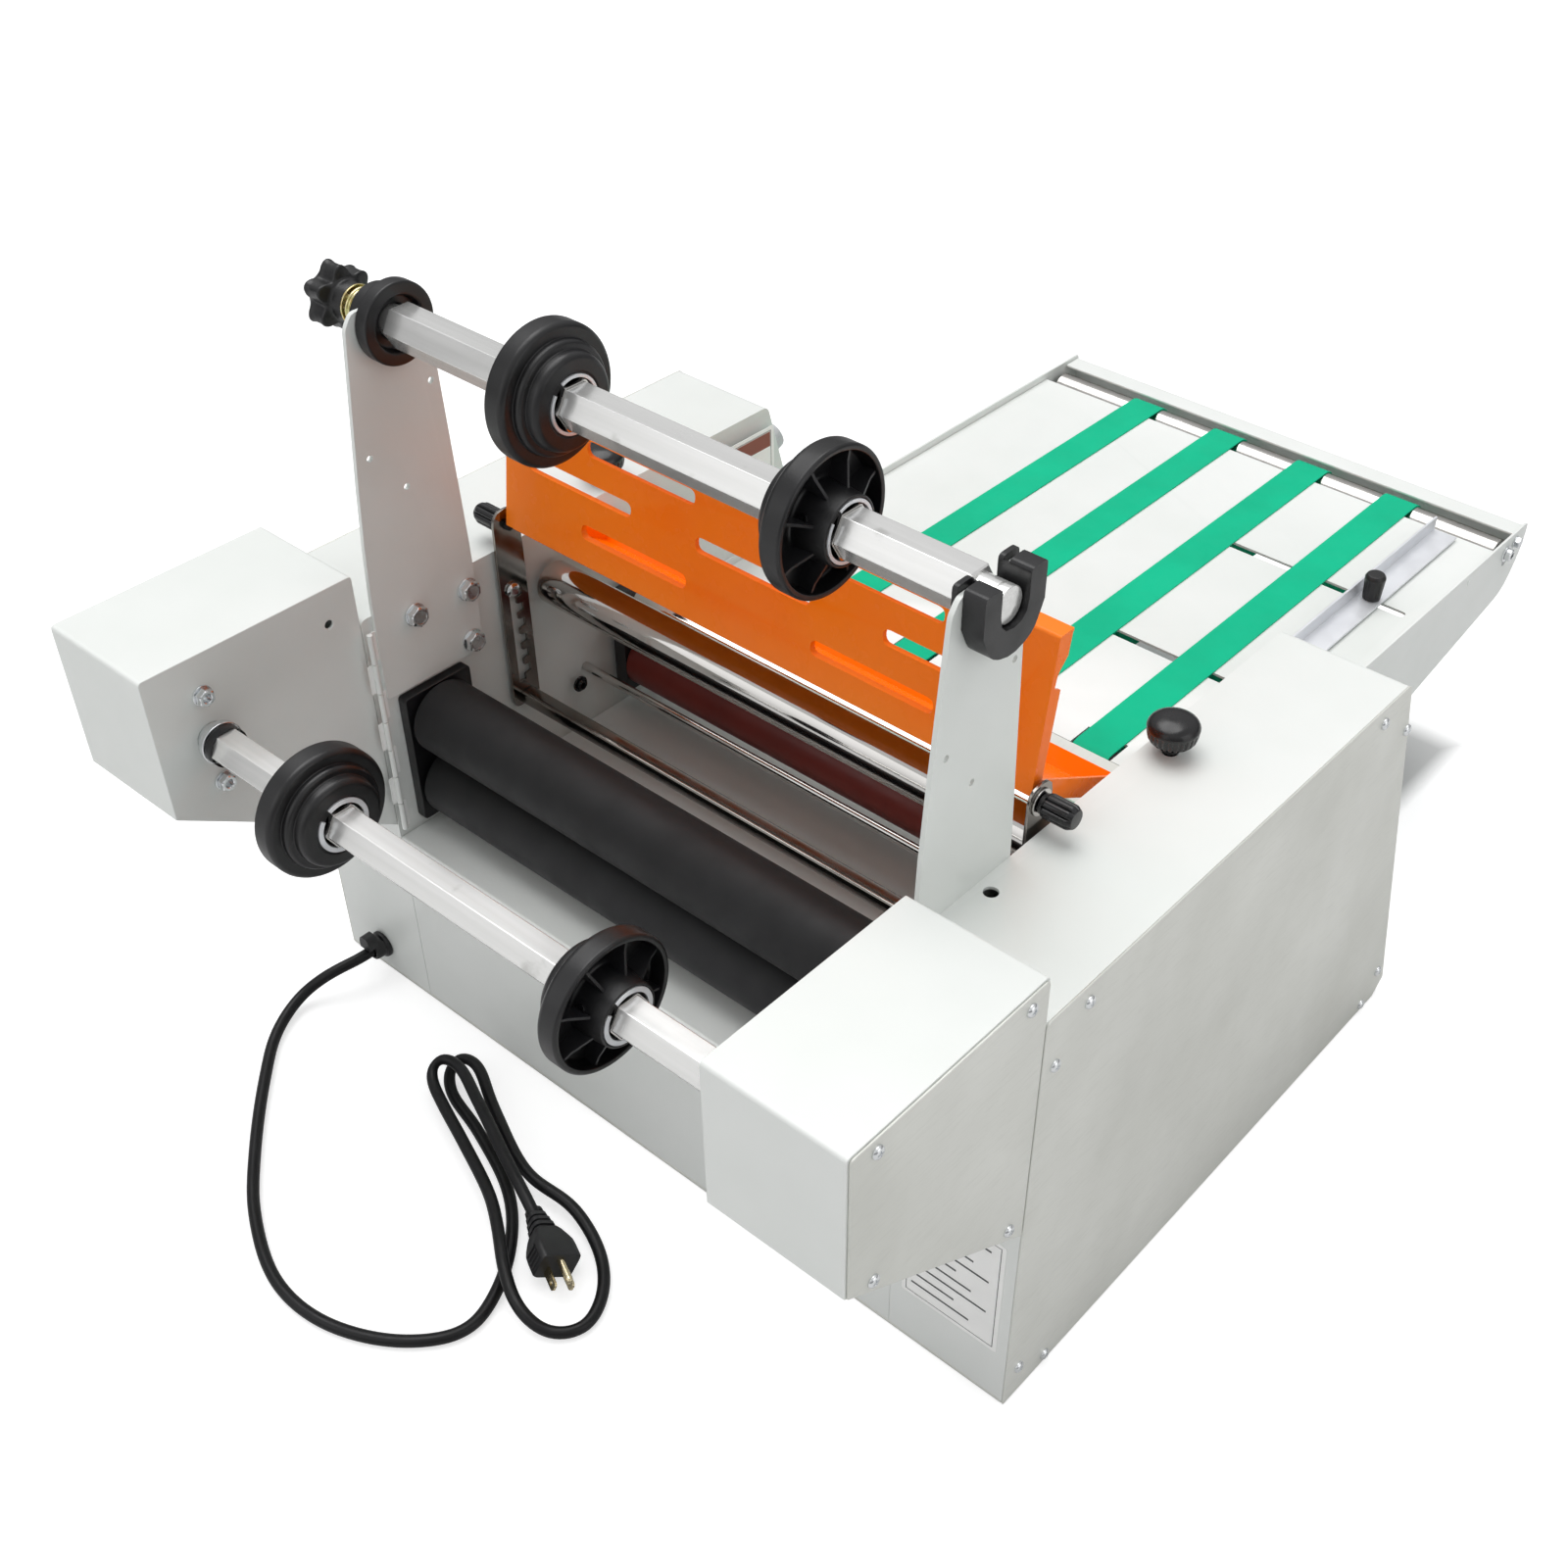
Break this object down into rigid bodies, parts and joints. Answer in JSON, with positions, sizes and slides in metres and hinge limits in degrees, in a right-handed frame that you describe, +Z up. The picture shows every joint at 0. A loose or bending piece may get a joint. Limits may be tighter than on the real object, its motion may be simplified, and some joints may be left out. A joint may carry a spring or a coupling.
{
  "type": "roll laminator",
  "caption": "Table-top roll laminator: film supply and rewind shafts with core chucks, nip and pull rollers, orange roller guard, and an infeed table with green feed belts.",
  "frame": {"origin": "middle of the base plate's underside, on the plane it stands on", "axes": "+X along the rollers towards the drive cabinet, +Y from the rewind side to the infeed table, +Z up"},
  "size_m": [0.62, 1.034, 0.5565],
  "materials": {
    "white_paint": "warm light grey powder coat, fine orange-peel",
    "galvanised": "satin galvanised sheet",
    "aluminium": "drawn bar, satin",
    "chrome": "polished",
    "nickel": "satin nickel plate",
    "black_rubber": "matte ground rubber",
    "red_silicone": "smooth silicone",
    "black_plastic": "fine moulded grain",
    "orange_paint": "gloss powder coat",
    "green_belt": "matte coated belt",
    "grey_plastic": "moulded",
    "steel": "machined",
    "cord_rubber": "soft gloss jacket"
  },
  "bodies": {
    "frame": {"base_plate": "galvanised", "front_panel_deck": "white_paint", "left_cabinet": "white_paint", "right_cabinet": "white_paint", "left_side_plate": "galvanised", "right_side_plate": "galvanised", "left_rewind_box": "white_paint", "right_rewind_box": "white_paint", "right_box_cover": "galvanised", "left_film_bracket": "white_paint", "right_film_bracket": "white_paint", "shaft_cradle": "black_plastic", "shaft_bushing": "black_plastic", "rewind_bearing": "steel", "left_bearing_plate": "black_plastic", "drive_motor": "steel", "guide_rod": "chrome", "table_deck": "white_paint", "table_wall_left": "white_paint", "table_wall_right": "white_paint", "table_end_bar": "white_paint", "infeed_plate": "galvanised", "feed_belt_1": "green_belt", "feed_belt_2": "green_belt", "feed_belt_3": "green_belt", "feed_belt_4": "green_belt", "power_cord": "cord_rubber", "cord_plug": "black_plastic", "strain_relief": "black_plastic"},
    "film_shaft": {"film_shaft": "aluminium", "brake_spring": "steel"},
    "brake_knob": {"brake_star_knob": "black_plastic"},
    "film_chuck_left": {"film_chuck_left": "black_plastic"},
    "film_chuck_right": {"film_chuck_right": "black_plastic"},
    "rewind_shaft": {"rewind_shaft": "aluminium", "rewind_clutch": "steel"},
    "rewind_chuck_left": {"rewind_chuck_left": "black_plastic"},
    "rewind_chuck_right": {"rewind_chuck_right": "black_plastic"},
    "pull_roller_upper": {"pull_roller_upper": "black_rubber", "pull_gear_upper": "steel"},
    "pull_roller_lower": {"pull_roller_lower": "black_rubber", "pull_gear_lower": "steel"},
    "motor_pinion": {"motor_pinion": "steel"},
    "nip_roller_upper": {"nip_roller_upper": "chrome"},
    "nip_roller_lower": {"nip_roller_lower": "red_silicone"},
    "film_guide_roller": {"film_guide_roller": "chrome"},
    "table_drive_roller": {"table_drive_roller": "black_rubber"},
    "table_end_roller": {"table_end_roller": "aluminium"},
    "decurl_frame": {"left_decurl_arm": "nickel", "right_decurl_arm": "nickel", "decurl_bar": "nickel"},
    "roller_guard": {"roller_guard": "orange_paint"},
    "left_thumb_knob": {"left_thumb_knob": "black_plastic"},
    "right_thumb_knob": {"right_thumb_knob": "black_plastic"},
    "side_guide": {"side_guide": "aluminium"},
    "side_guide_knob": {"side_guide_knob": "black_plastic"},
    "left_pressure_knob": {"left_pressure_knob": "black_plastic"},
    "right_pressure_knob": {"right_pressure_knob": "black_plastic"},
    "speed_dial": {"speed_dial": "grey_plastic"},
    "power_switch": {"power_switch": "black_plastic"}
  },
  "joints": [
    {"name": "film_shaft_spin", "type": "hinge", "parent": "frame", "child": "film_shaft", "pos_m": [0, -0.165, 0.515], "axis": [1, 0, 0], "continuous": true},
    {"name": "brake_knob_turn", "type": "hinge", "parent": "film_shaft", "child": "brake_knob", "pos_m": [-0.26, -0.165, 0.515], "axis": [1, 0, 0], "range_deg": [-360, 720]},
    {"name": "film_chuck_left_slide", "type": "slide", "parent": "film_shaft", "child": "film_chuck_left", "axis": [1, 0, 0], "range_m": [-0.085, 0.075]},
    {"name": "film_chuck_right_slide", "type": "slide", "parent": "film_shaft", "child": "film_chuck_right", "axis": [1, 0, 0], "range_m": [-0.075, 0.07]},
    {"name": "rewind_spin", "type": "hinge", "parent": "frame", "child": "rewind_shaft", "pos_m": [0, -0.335, 0.308], "axis": [1, 0, 0], "continuous": true},
    {"name": "rewind_chuck_left_slide", "type": "slide", "parent": "rewind_shaft", "child": "rewind_chuck_left", "axis": [1, 0, 0], "range_m": [-0.06, 0.08]},
    {"name": "rewind_chuck_right_slide", "type": "slide", "parent": "rewind_shaft", "child": "rewind_chuck_right", "axis": [1, 0, 0], "range_m": [-0.09, 0.08]},
    {"name": "pull_lower_spin", "type": "hinge", "parent": "frame", "child": "pull_roller_lower", "pos_m": [0, -0.177, 0.1893], "axis": [1, 0, 0], "continuous": true},
    {"name": "pull_upper_spin", "type": "hinge", "parent": "frame", "child": "pull_roller_upper", "pos_m": [0, -0.177, 0.2415], "axis": [1, 0, 0], "continuous": true},
    {"name": "pinion_spin", "type": "hinge", "parent": "frame", "child": "motor_pinion", "pos_m": [0.228, -0.15873, 0.15765], "axis": [1, 0, 0], "continuous": true},
    {"name": "nip_lower_spin", "type": "hinge", "parent": "frame", "child": "nip_roller_lower", "pos_m": [0, 0.002, 0.197], "axis": [1, 0, 0], "continuous": true},
    {"name": "nip_upper_spin", "type": "hinge", "parent": "frame", "child": "nip_roller_upper", "pos_m": [0, 0.002, 0.2372], "axis": [1, 0, 0], "continuous": true},
    {"name": "film_guide_spin", "type": "hinge", "parent": "frame", "child": "film_guide_roller", "pos_m": [0, -0.067, 0.291], "axis": [1, 0, 0], "continuous": true},
    {"name": "table_drive_spin", "type": "hinge", "parent": "frame", "child": "table_drive_roller", "pos_m": [0, 0.11, 0.205], "axis": [1, 0, 0], "continuous": true},
    {"name": "table_end_spin", "type": "hinge", "parent": "frame", "child": "table_end_roller", "pos_m": [0, 0.543, 0.202], "axis": [1, 0, 0], "continuous": true},
    {"name": "decurl_lift", "type": "slide", "parent": "frame", "child": "decurl_frame", "axis": [0, 0, 1], "range_m": [0, 0.0375]},
    {"name": "guard_swing", "type": "hinge", "parent": "decurl_frame", "child": "roller_guard", "pos_m": [0, -0.1005, 0.35], "axis": [1, 0, 0], "range_deg": [0, 60]},
    {"name": "left_thumb_knob_turn", "type": "hinge", "parent": "decurl_frame", "child": "left_thumb_knob", "pos_m": [-0.228, -0.1005, 0.35], "axis": [1, 0, 0], "range_deg": [0, 720]},
    {"name": "right_thumb_knob_turn", "type": "hinge", "parent": "decurl_frame", "child": "right_thumb_knob", "pos_m": [0.228, -0.1005, 0.35], "axis": [1, 0, 0], "range_deg": [0, 720]},
    {"name": "side_guide_slide", "type": "slide", "parent": "frame", "child": "side_guide", "axis": [1, 0, 0], "range_m": [-0.035, 0.024]},
    {"name": "side_guide_knob_turn", "type": "hinge", "parent": "side_guide", "child": "side_guide_knob", "pos_m": [0.177, 0.396, 0.225], "axis": [0, 0, 1], "range_deg": [0, 360]},
    {"name": "left_pressure_knob_turn", "type": "hinge", "parent": "frame", "child": "left_pressure_knob", "pos_m": [-0.2347, 0.005, 0.34], "axis": [0, 0, 1], "range_deg": [-540, 540]},
    {"name": "right_pressure_knob_turn", "type": "hinge", "parent": "frame", "child": "right_pressure_knob", "pos_m": [0.2347, 0.005, 0.34], "axis": [0, 0, 1], "range_deg": [-540, 540]},
    {"name": "speed_dial_turn", "type": "hinge", "parent": "frame", "child": "speed_dial", "pos_m": [-0.24, 0.17146, 0.288], "axis": [0, 0.9622, 0.2724], "range_deg": [-135, 135]},
    {"name": "power_switch_rock", "type": "hinge", "parent": "frame", "child": "power_switch", "pos_m": [-0.278, 0.17593, 0.26118], "axis": [1, 0, 0], "range_deg": [-7, 7]}
  ],
  "couplings": [
    {"joint": "pull_upper_spin", "follows": "pull_lower_spin", "ratio": -1},
    {"joint": "pinion_spin", "follows": "pull_lower_spin", "ratio": -2.5},
    {"joint": "nip_lower_spin", "follows": "pull_lower_spin", "ratio": 1.3},
    {"joint": "nip_upper_spin", "follows": "pull_lower_spin", "ratio": -1.3},
    {"joint": "table_drive_spin", "follows": "pull_lower_spin", "ratio": 1.97},
    {"joint": "table_end_spin", "follows": "pull_lower_spin", "ratio": 1.58}
  ]
}
